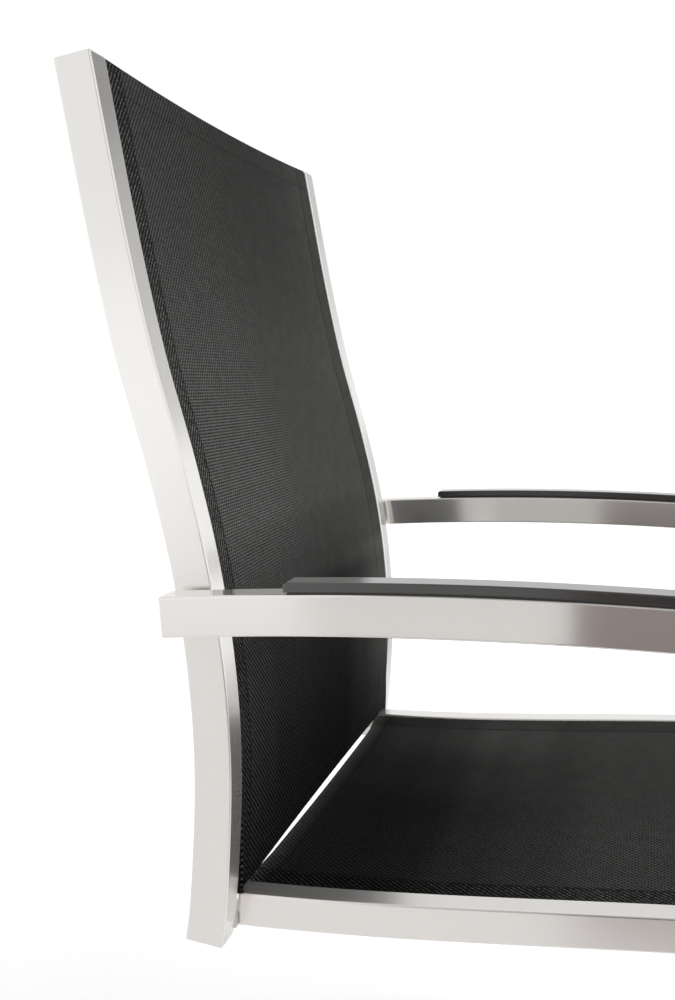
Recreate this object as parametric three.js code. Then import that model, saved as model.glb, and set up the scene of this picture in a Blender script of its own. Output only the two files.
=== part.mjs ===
// High-back patio armchair: a bent steel side frame on each side carries two curved uprights and
// two seat rails, and black mesh slings are held by rods in slots along them.
// Millimetres, Z up. The sitter faces -Y and the sitter's right-hand side is -X.
// Y = 0 is the most forward point of the uprights until the chair is centred at the end.

import * as THREE from 'three';

// Overall sizes
const INNER_WIDTH = 443; // between the two uprights
const CHAIR_HEIGHT = 1081; // front edge of the uprights' tops
const SEAT_DEPTH = 486; // from the uprights' most forward point to the front of the seat rails
const SEAT_REAR_HEIGHT = 444; // top of the seat rails at the back
const SEAT_RISE = 21; // how much higher the rails are at the front
const ARM_HEIGHT = 701; // highest point of the arm tubes
const FIT_GAP = 0.3; // left between pieces that touch

// Uprights
const UPRIGHT_WIDTH = 22;
const UPRIGHT_DEPTH = 30;
const UPRIGHT_FOOT_DROP = 29; // from the top of the seat rails down to the uprights' feet
const BACK_SLING_DROP = 4.2; // from the top of the seat rails down to the back sling's lower edge
const UPRIGHT_SWEEP = 97; // how far the tops lie behind the most forward point
const UPRIGHT_RINGS_PER_SPAN = 3;
// Where the uprights' front faces lie, as shares of the sweep: at their feet, and then at shares of
// the height from the back sling's lower edge to the top
const footSweepShare = 0.103;
const uprightShares = [
  [0, 0.067], [0.162, 0], [0.287, 0.033], [0.412, 0.146],
  [0.537, 0.334], [0.662, 0.562], [0.792, 0.75], [1, 1],
];

// Tube walls and the slots that hold the slings
const WALL = 1.5;
const CORNER_RADIUS = 2.2;
const CORNER_STEPS = 3;
const PLATE_THICKNESS = 2;
const SLOT_START = 2.3; // from the face next to the sling
const SLOT_WIDTH = 2;
const SLING_THICKNESS = 1.2;
const ROD_DIAMETER = 5;
const ROD_SIDES = 8;

// Side frames: arm, front leg and floor runner in one bent tube
const FRAME_WIDTH = 22;
const FRAME_DEPTH = 30;
const ARM_GAP = 7.5; // between an upright and the arm beside it
const ARM_REAR = 39; // rear end of the arms
const ARM_CAMBER_RADIUS = 3300;
const ARM_CREST = 219; // how far the arm's highest point lies in front of the uprights
const ARM_STEPS = 8;
const ARM_BEND_RADIUS = 75;
const FLOOR_BEND_RADIUS = 75;
const BEND_STEPS = 9;
const RUNNER_LENGTH = 480; // from the leg's front face to the runner's rear end

// Arm pads
const PAD_WIDTH = 22;
const PAD_THICKNESS = 7;
const PAD_GAP = 0.6;
const PAD_REAR = 54; // how far in front of the uprights a pad begins
const PAD_LENGTH = 330;
const PAD_END_RADIUS = 3; // of the upper corner at each end
const PAD_EDGE = 1;
const PAD_STEPS = 10;
const PAD_END_STEPS = 3;

// Seat rails
const RAIL_WIDTH = 20;
const RAIL_DEPTH = 27;
const RAIL_GAP = 4.5; // between an upright and the rail beside it
const RAIL_REAR = 7.4; // rear end of the rails, just past the uprights' front faces there
const RAIL_STEPS = 12;

// Slings
const BACK_HOLLOW_TOP = 5; // how far the middle of the back lies behind its sides
const BACK_HOLLOW_MIDDLE = 9;
const BACK_HOLLOW_BOTTOM = 2;
const BACK_TOP_DIP = 2.3;
const SEAT_SAG_END = 3;
const SEAT_SAG_MIDDLE = 8;
const SEAT_REAR_CURVE = 3.3; // how far the middle of the seat's rear edge lies in front of its corners
const SEAT_SLING_REAR = 0.9; // how far the seat's rear corners stand out behind the rails
const SEAT_SLING_FRONT = 6;
const SLING_COLUMNS = 12;
const TOP_INSET = 1;

// Cross bars
const BOWED_BAR_DIAMETER = 16;
const BAR_SETBACK = 19; // bar centre behind the sling-side face of the tube it joins
const BACK_BAR_BOW = 18;
const BACK_TOP_BAR_DROP = 44; // below the uprights' tops
const BACK_LOWER_BAR_RISE = 61; // above the seat rails
const SEAT_REAR_BAR_INSET = 56; // from the rails' rear ends
const SEAT_BAR_BOW = 22;
const BAR_STRAIGHT_END = 16;
const BOW_STEPS = 12;
const FRONT_BAR_DIAMETER = 25;
const BAR_SIDES = 12;
const BASE_BAR_INSET = 14; // between the runners' rear ends and the rear base bar

// Joining pieces
const ARM_BLOCK_LENGTH = 20;
const ARM_BLOCK_HEIGHT = 18;
const BRACKET_THICKNESS = 3;
const BRACKET_LENGTH = 26;
const BRACKET_HEIGHT = 10;
const GLIDE_LENGTH = 46;
const GLIDE_WIDTH = 18;
const GLIDE_THICKNESS = 4;
const GLIDE_RADIUS = 5;
const GLIDE_INSET = 12; // from the ends of a runner's straight length

const steel = new THREE.MeshStandardMaterial({ color: 0xd8d4ce, roughness: 0.35, metalness: 1 });
const slingMesh = new THREE.MeshStandardMaterial({ color: 0x232322, roughness: 0.8, metalness: 0 });
const padPlastic = new THREE.MeshStandardMaterial({ color: 0x4a4946, roughness: 0.5, metalness: 0 });
const blackPlastic = new THREE.MeshStandardMaterial({ color: 0x161616, roughness: 0.6, metalness: 0 });

const chair = new THREE.Group();
const sides = [
  { name: 'right', sign: -1 },
  { name: 'left', sign: 1 },
];
const acrossX = new THREE.Vector3(1, 0, 0);

// A line for a tube: its rings stand at the given points, and across is square to the tube's bends
class TubeLine extends THREE.Curve {
  constructor(points, across = acrossX) {
    super();
    this.points = points;
    this.across = across;
  }

  getPoint(share, target = new THREE.Vector3()) {
    const place = share * (this.points.length - 1);
    const first = Math.min(Math.floor(place), this.points.length - 2);
    return target.lerpVectors(this.points[first], this.points[first + 1], place - first);
  }

  getSpacedPoints() {
    return this.points;
  }

  directionAt(index) {
    const direction = new THREE.Vector3();
    if (index > 0) {
      direction.add(this.points[index].clone().sub(this.points[index - 1]).normalize());
    }
    if (index < this.points.length - 1) {
      direction.add(this.points[index + 1].clone().sub(this.points[index]).normalize());
    }
    return direction.normalize();
  }

  computeFrenetFrames() {
    const tangents = this.points.map((point, index) => this.directionAt(index));
    const normals = this.points.map(() => this.across.clone());
    const binormals = tangents.map((tangent) => tangent.clone().cross(this.across));
    return { tangents, normals, binormals };
  }
}

function addPiece(name, geometry, material) {
  const piece = new THREE.Mesh(geometry, material);
  piece.name = name;
  chair.add(piece);
}

function sweep(section, line) {
  return new THREE.ExtrudeGeometry(section, {
    steps: line.points.length - 1,
    extrudePath: line,
    bevelEnabled: false,
  });
}

function arcPoints(centreX, centreY, radius, from, to, steps) {
  return Array.from({ length: steps + 1 }, (unused, index) => {
    const angle = THREE.MathUtils.lerp(from, to, index / steps);
    return new THREE.Vector2(centreX + radius * Math.cos(angle), centreY + radius * Math.sin(angle));
  });
}

const quarterTurn = Math.PI / 2;

// Rounded rectangle centred on x = 0 and running from y = near to y = far
function roundedOutline(width, near, far, radius) {
  const centreX = width / 2 - radius;
  return [
    ...arcPoints(centreX, near + radius, radius, -quarterTurn, 0, CORNER_STEPS),
    ...arcPoints(centreX, far - radius, radius, 0, quarterTurn, CORNER_STEPS),
    ...arcPoints(-centreX, far - radius, radius, quarterTurn, 2 * quarterTurn, CORNER_STEPS),
    ...arcPoints(-centreX, near + radius, radius, 2 * quarterTurn, 3 * quarterTurn, CORNER_STEPS),
  ];
}

// Section of a plain rectangular tube whose near face is at y = near
function tubeSection(width, near, far) {
  const section = new THREE.Shape(roundedOutline(width, near, far, CORNER_RADIUS));
  const bore = roundedOutline(width - 2 * WALL, near + WALL, far - WALL, CORNER_RADIUS - WALL);
  section.holes.push(new THREE.Path(bore));
  return section;
}

// Section of a tube with a sling slot in the face on its inward side, next to its near face
function slottedSection(width, depth, inward) {
  const slotEnd = SLOT_START + SLOT_WIDTH;
  const half = width / 2;
  const bore = CORNER_RADIUS - WALL;
  const outerX = half - CORNER_RADIUS;
  const outerFar = depth - CORNER_RADIUS;
  const points = [
    new THREE.Vector2(half, slotEnd),
    ...arcPoints(outerX, outerFar, CORNER_RADIUS, 0, quarterTurn, CORNER_STEPS),
    ...arcPoints(-outerX, outerFar, CORNER_RADIUS, quarterTurn, 2 * quarterTurn, CORNER_STEPS),
    ...arcPoints(-outerX, CORNER_RADIUS, CORNER_RADIUS, 2 * quarterTurn, 3 * quarterTurn, CORNER_STEPS),
    ...arcPoints(outerX, CORNER_RADIUS, CORNER_RADIUS, 3 * quarterTurn, 4 * quarterTurn, CORNER_STEPS),
    new THREE.Vector2(half, SLOT_START),
    new THREE.Vector2(half - WALL, SLOT_START),
    ...arcPoints(outerX, CORNER_RADIUS, bore, 4 * quarterTurn, 3 * quarterTurn, 1),
    ...arcPoints(-outerX, CORNER_RADIUS, bore, 3 * quarterTurn, 2 * quarterTurn, 1),
    ...arcPoints(-outerX, outerFar, bore, 2 * quarterTurn, quarterTurn, 1),
    ...arcPoints(outerX, outerFar, bore, quarterTurn, 0, 1),
    new THREE.Vector2(half - WALL, slotEnd),
  ];
  return new THREE.Shape(points.map((point) => new THREE.Vector2(inward * point.x, point.y)));
}

function roundSection(diameter, sides, centreX = 0, centreY = 0) {
  const turn = 4 * quarterTurn;
  return new THREE.Shape(arcPoints(centreX, centreY, diameter / 2, 0, turn, sides).slice(0, sides));
}

function pipeSection(diameter) {
  const section = roundSection(diameter, BAR_SIDES);
  const bore = roundSection(diameter - 2 * WALL, BAR_SIDES);
  section.holes.push(new THREE.Path(bore.getPoints()));
  return section;
}

// A thin plate that closes a tube's end, just clear of it
function endPlate(outline, line, atEnd) {
  const index = atEnd ? line.points.length - 1 : 0;
  const outward = line.directionAt(index).multiplyScalar(atEnd ? 1 : -1);
  const near = line.points[index].clone().addScaledVector(outward, FIT_GAP);
  const far = near.clone().addScaledVector(outward, PLATE_THICKNESS);
  const points = atEnd ? [near, far] : [far, near];
  return sweep(new THREE.Shape(outline), new TubeLine(points, line.across));
}

// Uprights: the middle of the front face, from foot to top
const backSlingStart = SEAT_REAR_HEIGHT - BACK_SLING_DROP;
const uprightPlaces = [
  new THREE.Vector3(0, UPRIGHT_SWEEP * footSweepShare, SEAT_REAR_HEIGHT - UPRIGHT_FOOT_DROP),
  ...uprightShares.map(([heightShare, sweepShare]) => new THREE.Vector3(
    0,
    UPRIGHT_SWEEP * sweepShare,
    THREE.MathUtils.lerp(backSlingStart, CHAIR_HEIGHT, heightShare),
  )),
];
const uprightCurve = new THREE.CatmullRomCurve3(uprightPlaces, false, 'centripetal');
const uprightPoints = uprightCurve.getPoints((uprightPlaces.length - 1) * UPRIGHT_RINGS_PER_SPAN);
const uprightOutline = roundedOutline(UPRIGHT_WIDTH, 0, UPRIGHT_DEPTH, CORNER_RADIUS);
const uprightX = INNER_WIDTH / 2 + UPRIGHT_WIDTH / 2;

// Seat rails: the middle of the top face, from front to rear
const railLength = SEAT_DEPTH + RAIL_REAR;
const railX = INNER_WIDTH / 2 - RAIL_GAP - RAIL_WIDTH / 2;
const railPoints = Array.from({ length: RAIL_STEPS + 1 }, (unused, index) => {
  const share = index / RAIL_STEPS;
  const rise = SEAT_RISE * THREE.MathUtils.smoothstep(1 - share, 0, 1);
  return new THREE.Vector3(0, railLength * share - SEAT_DEPTH, SEAT_REAR_HEIGHT + rise);
});
const railOutline = roundedOutline(RAIL_WIDTH, 0, RAIL_DEPTH, CORNER_RADIUS);

// The number of the ring nearest to a place along one axis
function ringNearest(points, axis, place) {
  return points.reduce((best, point, index) => (
    Math.abs(point[axis] - place) < Math.abs(points[best][axis] - place) ? index : best
  ), 0);
}

function shifted(points, x) {
  return points.map((point) => point.clone().setX(x));
}

for (const { name, sign } of sides) {
  const uprightLine = new TubeLine(shifted(uprightPoints, sign * uprightX));
  const upright = sweep(slottedSection(UPRIGHT_WIDTH, UPRIGHT_DEPTH, -sign), uprightLine);
  addPiece(`${name}_upright`, upright, steel);
  addPiece(`${name}_upright_top_plate`, endPlate(uprightOutline, uprightLine, true), steel);
  addPiece(`${name}_upright_foot_plate`, endPlate(uprightOutline, uprightLine, false), steel);

  const railLine = new TubeLine(shifted(railPoints, sign * railX));
  const rail = sweep(slottedSection(RAIL_WIDTH, RAIL_DEPTH, -sign), railLine);
  addPiece(`${name}_seat_rail`, rail, steel);
  addPiece(`${name}_seat_rail_front_plate`, endPlate(railOutline, railLine, false), steel);
}

// Side frames: the arm's shallow arch, a bend into the leg, a bend into the floor runner
const legCentre = FRAME_DEPTH / 2 - SEAT_DEPTH;
const runnerHeight = GLIDE_THICKNESS + FIT_GAP + FRAME_DEPTH / 2;
const archRadius = ARM_CAMBER_RADIUS - FRAME_DEPTH / 2;
const archCentre = new THREE.Vector2(-ARM_CREST, ARM_HEIGHT - ARM_CAMBER_RADIUS);
const armRearAngle = quarterTurn + Math.asin((ARM_CREST + ARM_REAR - PLATE_THICKNESS) / archRadius);
const bendReach = legCentre + ARM_BEND_RADIUS - archCentre.x;
const armFrontAngle = quarterTurn + Math.asin(bendReach / (archRadius - ARM_BEND_RADIUS));

function sidePoints(centre, radius, from, to, steps) {
  const points = arcPoints(centre.x, centre.y, radius, from, to, steps);
  return points.map(({ x, y }) => new THREE.Vector3(0, x, y));
}

function onArch(radius, angle) {
  return new THREE.Vector2(
    archCentre.x + radius * Math.cos(angle),
    archCentre.y + radius * Math.sin(angle),
  );
}

// Angles run anticlockwise seen from the sitter's left, so the arm's rear lies at a smaller angle
const archRear = 2 * quarterTurn - armRearAngle;
const archFront = 2 * quarterTurn - armFrontAngle;
const armBendCentre = onArch(archRadius - ARM_BEND_RADIUS, archFront);
const floorBendCentre = new THREE.Vector2(legCentre + FLOOR_BEND_RADIUS, runnerHeight + FLOOR_BEND_RADIUS);
const runnerRear = RUNNER_LENGTH - SEAT_DEPTH;
const runnerEnd = new THREE.Vector3(0, runnerRear - PLATE_THICKNESS, runnerHeight);
const sideFramePoints = [
  ...sidePoints(archCentre, archRadius, archRear, archFront, ARM_STEPS),
  ...sidePoints(armBendCentre, ARM_BEND_RADIUS, archFront, 2 * quarterTurn, BEND_STEPS).slice(1),
  ...sidePoints(floorBendCentre, FLOOR_BEND_RADIUS, 2 * quarterTurn, 3 * quarterTurn, BEND_STEPS),
  runnerEnd,
];
const frameX = INNER_WIDTH / 2 + UPRIGHT_WIDTH + ARM_GAP + FRAME_WIDTH / 2;
const frameSection = tubeSection(FRAME_WIDTH, -FRAME_DEPTH / 2, FRAME_DEPTH / 2);
const frameOutline = roundedOutline(FRAME_WIDTH, -FRAME_DEPTH / 2, FRAME_DEPTH / 2, CORNER_RADIUS);

for (const { name, sign } of sides) {
  const frameLine = new TubeLine(shifted(sideFramePoints, sign * frameX));
  addPiece(`${name}_side_frame`, sweep(frameSection, frameLine), steel);
  addPiece(`${name}_arm_rear_plate`, endPlate(frameOutline, frameLine, false), steel);
  addPiece(`${name}_runner_rear_plate`, endPlate(frameOutline, frameLine, true), steel);
}

// Turns a side view drawn in Y and Z, extruded along X, into place about x
function fromSideView(shape, width, x, edge = 0) {
  const geometry = new THREE.ExtrudeGeometry(shape, {
    depth: width - 2 * edge,
    bevelEnabled: edge > 0,
    bevelThickness: edge,
    bevelSize: edge,
    bevelOffset: -edge,
    bevelSegments: 2,
    curveSegments: PAD_STEPS,
  });
  geometry.translate(0, 0, edge - width / 2);
  const toSide = new THREE.Matrix4().makeBasis(
    new THREE.Vector3(0, 1, 0),
    new THREE.Vector3(0, 0, 1),
    new THREE.Vector3(1, 0, 0),
  );
  geometry.applyMatrix4(toSide);
  geometry.translate(x, 0, 0);
  return geometry;
}

// Arm pads: a strip that follows the arm's arch, with the upper corner of each end rounded
const padUnder = ARM_CAMBER_RADIUS + PAD_GAP;
const padFront = -PAD_REAR - PAD_LENGTH;
const cornerArch = padUnder + PAD_THICKNESS - PAD_END_RADIUS;

function archAngle(place, radius) {
  return quarterTurn - Math.asin((place - archCentre.x) / radius);
}

function padCorner(place, turn) {
  const angle = archAngle(place, cornerArch);
  const x = archCentre.x + cornerArch * Math.cos(angle);
  const y = archCentre.y + cornerArch * Math.sin(angle);
  const start = angle + turn;
  return arcPoints(x, y, PAD_END_RADIUS, start, start + quarterTurn, PAD_END_STEPS);
}

const rearCorner = padCorner(-PAD_REAR - PAD_END_RADIUS, -quarterTurn);
const frontCorner = padCorner(padFront + PAD_END_RADIUS, 0);
const padShape = new THREE.Shape([
  ...rearCorner,
  ...arcPoints(
    archCentre.x,
    archCentre.y,
    padUnder + PAD_THICKNESS,
    archAngle(-PAD_REAR - PAD_END_RADIUS, cornerArch),
    archAngle(padFront + PAD_END_RADIUS, cornerArch),
    PAD_STEPS,
  ).slice(1, -1),
  ...frontCorner,
  ...arcPoints(
    archCentre.x,
    archCentre.y,
    padUnder,
    archAngle(padFront, padUnder),
    archAngle(-PAD_REAR, padUnder),
    PAD_STEPS,
  ),
]);

for (const { name, sign } of sides) {
  addPiece(`${name}_arm_pad`, fromSideView(padShape, PAD_WIDTH, sign * frameX, PAD_EDGE), padPlastic);
}

// Slings: a thin sheet on the points of the tubes that hold it. hollow gives how far a point lies
// into the chair from the slots, and slide how far it is moved along the sheet, for places across
// from -1 to 1 and along from 0 to 1
function slingSheet(line, halfWidth, hollow, slide) {
  const rows = line.points.length - 1;
  const geometry = new THREE.BoxGeometry(2, 1, SLING_THICKNESS, SLING_COLUMNS, rows, 1);
  const positions = geometry.attributes.position;
  for (let index = 0; index < positions.count; index += 1) {
    const across = positions.getX(index);
    const along = positions.getY(index) + 1 / 2;
    const ring = Math.round(along * rows);
    const direction = line.directionAt(ring);
    const inwards = direction.clone().cross(acrossX);
    const depth = SLOT_START + SLOT_WIDTH / 2 + hollow(across, along) - positions.getZ(index);
    const place = line.points[ring].clone();
    place.addScaledVector(inwards, depth);
    place.addScaledVector(direction, slide(across, along));
    positions.setXYZ(index, across * halfWidth, place.y, place.z);
  }
  geometry.computeVertexNormals();
  return geometry;
}

function archShare(place) {
  return 1 - place * place;
}

const backRow = UPRIGHT_RINGS_PER_SPAN;
const wholeUpright = new TubeLine(uprightPoints);
const wholeRail = new TubeLine(railPoints);
const topRing = uprightPoints.length - 1;
const backTopPoint = uprightPoints[topRing].clone();
backTopPoint.addScaledVector(wholeUpright.directionAt(topRing), -TOP_INSET);
const backLine = new TubeLine([...uprightPoints.slice(backRow, -1), backTopPoint]);

function backHollow(across, along) {
  const straight = THREE.MathUtils.lerp(BACK_HOLLOW_BOTTOM, BACK_HOLLOW_TOP, along);
  const middle = BACK_HOLLOW_MIDDLE - (BACK_HOLLOW_BOTTOM + BACK_HOLLOW_TOP) / 2;
  return archShare(across) * (straight + middle * archShare(2 * along - 1));
}

function backSlide(across, along) {
  return along === 1 ? -BACK_TOP_DIP * archShare(across) : 0;
}

const seatFrontPoint = railPoints[0].clone();
seatFrontPoint.y += SEAT_SLING_FRONT;
const seatRearPoint = railPoints[railPoints.length - 1].clone();
seatRearPoint.y += SEAT_SLING_REAR;
const seatLine = new TubeLine([seatFrontPoint, ...railPoints.slice(1, -1), seatRearPoint]);

function seatHollow(across, along) {
  const middle = SEAT_SAG_MIDDLE - SEAT_SAG_END;
  return archShare(across) * (SEAT_SAG_END + middle * archShare(2 * along - 1));
}

function seatSlide(across, along) {
  return along === 1 ? -SEAT_REAR_CURVE * archShare(across) : 0;
}

const backHalfWidth = INNER_WIDTH / 2 + WALL;
const seatHalfWidth = railX - RAIL_WIDTH / 2 + WALL;
addPiece('back_sling', slingSheet(backLine, backHalfWidth, backHollow, backSlide), slingMesh);
addPiece('seat_sling', slingSheet(seatLine, seatHalfWidth, seatHollow, seatSlide), slingMesh);

// Rods in the slings' side pockets, held behind the slots
const rodReach = FIT_GAP + ROD_DIAMETER / 2;
const rodSlings = [
  { name: 'back_sling_rod', line: backLine, halfWidth: backHalfWidth },
  { name: 'seat_sling_rod', line: seatLine, halfWidth: seatHalfWidth },
];
const rodDepth = WALL + FIT_GAP + ROD_DIAMETER / 2;

for (const { name, sign } of sides) {
  for (const sling of rodSlings) {
    const line = new TubeLine(shifted(sling.line.points, sign * (sling.halfWidth + rodReach)));
    const section = roundSection(ROD_DIAMETER, ROD_SIDES, 0, rodDepth);
    addPiece(`${name}_${sling.name}`, sweep(section, line), blackPlastic);
  }
}

// A pipe between two tubes, straight at its ends and bowed away from the sitter in between, so that
// the sling stays clear of it
function bowedBar(line, index, halfSpan, bow) {
  const upwards = line.directionAt(index);
  const inwards = upwards.clone().cross(acrossX);
  const middle = line.points[index].clone().addScaledVector(inwards, BAR_SETBACK);
  const curved = Array.from({ length: BOW_STEPS + 1 }, (unused, step) => {
    const across = (2 * step) / BOW_STEPS - 1;
    const point = middle.clone().setX(across * (halfSpan - BAR_STRAIGHT_END));
    return point.addScaledVector(inwards, bow * archShare(across) ** 2);
  });
  const points = [middle.clone().setX(-halfSpan), ...curved, middle.clone().setX(halfSpan)];
  return sweep(pipeSection(BOWED_BAR_DIAMETER), new TubeLine(points, upwards));
}

const backSpan = INNER_WIDTH / 2 - FIT_GAP;
const seatSpan = railX - RAIL_WIDTH / 2 - FIT_GAP;
const topBarRing = ringNearest(uprightPoints, 'z', CHAIR_HEIGHT - BACK_TOP_BAR_DROP);
const lowerBarRing = ringNearest(uprightPoints, 'z', SEAT_REAR_HEIGHT + BACK_LOWER_BAR_RISE);
const seatBarRing = ringNearest(railPoints, 'y', RAIL_REAR - SEAT_REAR_BAR_INSET);
addPiece('back_top_bar', bowedBar(wholeUpright, topBarRing, backSpan, BACK_BAR_BOW), steel);
addPiece('back_lower_bar', bowedBar(wholeUpright, lowerBarRing, backSpan, BACK_BAR_BOW), steel);
addPiece('seat_rear_bar', bowedBar(wholeRail, seatBarRing, seatSpan, SEAT_BAR_BOW), steel);

// Straight bars between the side frames: one under the rails' front ends, one at the floor
const betweenFrames = frameX - FRAME_WIDTH / 2 - FIT_GAP;

function straightLine(y, z, across) {
  return new TubeLine(
    [new THREE.Vector3(-betweenFrames, y, z), new THREE.Vector3(betweenFrames, y, z)],
    across,
  );
}

const frontBarShare = (legCentre + SEAT_DEPTH) / railLength;
const railTopAtBar = SEAT_REAR_HEIGHT + SEAT_RISE * THREE.MathUtils.smoothstep(1 - frontBarShare, 0, 1);
const frontBarHeight = railTopAtBar - RAIL_DEPTH - FRONT_BAR_DIAMETER / 2 - FIT_GAP;
const alongY = new THREE.Vector3(0, 1, 0);
const frontBarLine = straightLine(legCentre, frontBarHeight, alongY);
addPiece('seat_front_bar', sweep(pipeSection(FRONT_BAR_DIAMETER), frontBarLine), steel);
const baseBarLine = straightLine(runnerRear - BASE_BAR_INSET - FRAME_WIDTH / 2, runnerHeight, alongY);
addPiece('base_rear_bar', sweep(frameSection, baseBarLine), steel);

// Blocks that join each arm to its upright
function box(width, length, height, x, y, z) {
  const geometry = new THREE.BoxGeometry(width, length, height);
  geometry.translate(x, y, z);
  return geometry;
}

const armCentreHeight = archCentre.y + archRadius * Math.sin(archRear);
const uprightAtArm = uprightPoints[ringNearest(uprightPoints, 'z', armCentreHeight)];
const armBlockPlace = uprightAtArm.y + UPRIGHT_DEPTH / 2;

for (const { name, sign } of sides) {
  const x = sign * (uprightX + UPRIGHT_WIDTH / 2 + ARM_GAP / 2);
  const block = box(
    ARM_GAP - 2 * FIT_GAP,
    ARM_BLOCK_LENGTH,
    ARM_BLOCK_HEIGHT,
    x,
    armBlockPlace,
    armCentreHeight,
  );
  addPiece(`${name}_arm_block`, block, steel);
}

// Angle brackets: one leg closes the rail's rear end, the other lies on the upright's inner face
const bracketReach = RAIL_GAP + RAIL_WIDTH - FIT_GAP;
const bracketTop = SEAT_REAR_HEIGHT - RAIL_DEPTH + BRACKET_HEIGHT;

for (const { name, sign } of sides) {
  const face = sign * (INNER_WIDTH / 2 - FIT_GAP);
  const start = RAIL_REAR + FIT_GAP;
  const shape = new THREE.Shape([
    new THREE.Vector2(face, start),
    new THREE.Vector2(face, start + BRACKET_LENGTH),
    new THREE.Vector2(face - sign * BRACKET_THICKNESS, start + BRACKET_LENGTH),
    new THREE.Vector2(face - sign * BRACKET_THICKNESS, start + BRACKET_THICKNESS),
    new THREE.Vector2(face - sign * bracketReach, start + BRACKET_THICKNESS),
    new THREE.Vector2(face - sign * bracketReach, start),
  ]);
  const geometry = new THREE.ExtrudeGeometry(shape, { depth: BRACKET_HEIGHT, bevelEnabled: false });
  geometry.translate(0, 0, bracketTop - BRACKET_HEIGHT);
  addPiece(`${name}_rail_bracket`, geometry, steel);
}

// Glides under the runners
const glideOutline = roundedOutline(GLIDE_WIDTH, -GLIDE_LENGTH / 2, GLIDE_LENGTH / 2, GLIDE_RADIUS);
const glidePlaces = [
  { name: 'front', y: floorBendCentre.x + GLIDE_INSET + GLIDE_LENGTH / 2 },
  { name: 'rear', y: runnerRear - GLIDE_INSET - GLIDE_LENGTH / 2 },
];

for (const { name, sign } of sides) {
  for (const place of glidePlaces) {
    const shape = new THREE.Shape(glideOutline);
    const geometry = new THREE.ExtrudeGeometry(shape, { depth: GLIDE_THICKNESS, bevelEnabled: false });
    geometry.translate(sign * frameX, place.y, 0);
    addPiece(`${name}_${place.name}_glide`, geometry, blackPlastic);
  }
}

// The origin is on the floor, under the middle of the chair's box
const middle = new THREE.Box3().setFromObject(chair).getCenter(new THREE.Vector3());
chair.position.y = -middle.y;

export default chair;
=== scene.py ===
import math

import bpy
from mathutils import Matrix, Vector


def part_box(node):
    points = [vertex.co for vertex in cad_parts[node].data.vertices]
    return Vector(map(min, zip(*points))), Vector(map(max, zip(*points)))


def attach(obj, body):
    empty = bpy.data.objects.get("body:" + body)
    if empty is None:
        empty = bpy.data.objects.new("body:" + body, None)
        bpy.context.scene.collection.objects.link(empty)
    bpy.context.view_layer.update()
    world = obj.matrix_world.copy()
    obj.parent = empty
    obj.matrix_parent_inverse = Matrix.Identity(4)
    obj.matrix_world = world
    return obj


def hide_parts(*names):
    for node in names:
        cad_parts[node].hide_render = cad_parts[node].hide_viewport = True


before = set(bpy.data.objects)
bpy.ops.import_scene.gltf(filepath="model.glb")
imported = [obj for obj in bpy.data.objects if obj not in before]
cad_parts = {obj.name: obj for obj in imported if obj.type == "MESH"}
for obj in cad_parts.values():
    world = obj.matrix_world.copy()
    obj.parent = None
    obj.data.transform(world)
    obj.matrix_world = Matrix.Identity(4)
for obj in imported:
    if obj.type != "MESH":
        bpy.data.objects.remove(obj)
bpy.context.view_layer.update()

MM = 0.001
QUARTER = math.pi / 2
X_AXIS = Vector((1, 0, 0))
Y_AXIS = Vector((0, 1, 0))
SIDES = {"right": -1, "left": 1}

# Places read from the frame
INNER_HALF = -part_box("right_upright")[1][0]
FORWARD_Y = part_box("right_upright")[0][1]
CHAIR_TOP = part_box("right_upright")[1][2]
RAIL_INNER_X = -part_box("right_seat_rail")[1][0]
FRAME_INNER_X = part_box("left_side_frame")[0][0]
FRAME_OUTER_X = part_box("left_side_frame")[1][0]

# Uprights
UPRIGHT_WIDTH = 22 * MM
UPRIGHT_DEPTH = 30 * MM
UPRIGHT_FOOT_DROP = 29 * MM
UPRIGHT_SWEEP = 97 * MM
FOOT_SWEEP_SHARE = 0.103
UPRIGHT_SHARES = (
    (0, 0.067), (0.162, 0), (0.287, 0.033), (0.412, 0.146),
    (0.537, 0.334), (0.662, 0.562), (0.792, 0.75), (1, 1),
)
SPAN_STEPS = 8

# Tubes and slots
WALL = 1.5 * MM
CORNER_RADIUS = 1.7 * MM
CORNER_STEPS = 6
BORE_RADIUS = 0.5 * MM
SLOT_START = 2.3 * MM
SLOT_WIDTH = 2 * MM
PLATE_THICKNESS = 2 * MM
PLATE_RIM = 1.6 * MM
RIM_STEPS = 4
FIT_GAP = 0.3 * MM

# Side frames
FRAME_DEPTH = 30 * MM
ARM_HEIGHT = 701 * MM
ARM_REAR = 39 * MM
ARM_CAMBER_RADIUS = 3300 * MM
ARM_CREST = 219 * MM
BEND_RADIUS = 75 * MM
BEND_STEPS = 24
ARM_STEPS = 24
RUNNER_LENGTH = 480 * MM
GLIDE_THICKNESS = 4 * MM
SEAT_DEPTH = 486 * MM

# Seat rails
SEAT_REAR_HEIGHT = 444 * MM
SEAT_RISE = 21 * MM
RAIL_WIDTH = 20 * MM
RAIL_DEPTH = 27 * MM
RAIL_REAR = 7.4 * MM
RAIL_STEPS = 36

# Arm pads
PAD_WIDTH = 20 * MM
PAD_THICKNESS = 7 * MM
PAD_GAP = 1.3 * MM
PAD_SEAT_INSET = 0.8 * MM
PAD_SEAT_LIFT = 0.1 * MM
PAD_REAR = 54 * MM
PAD_LENGTH = 330 * MM
PAD_END_RADIUS = 3 * MM
PAD_END_STEPS = 8
PAD_STEPS = 60
PAD_EDGE = 1 * MM

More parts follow.
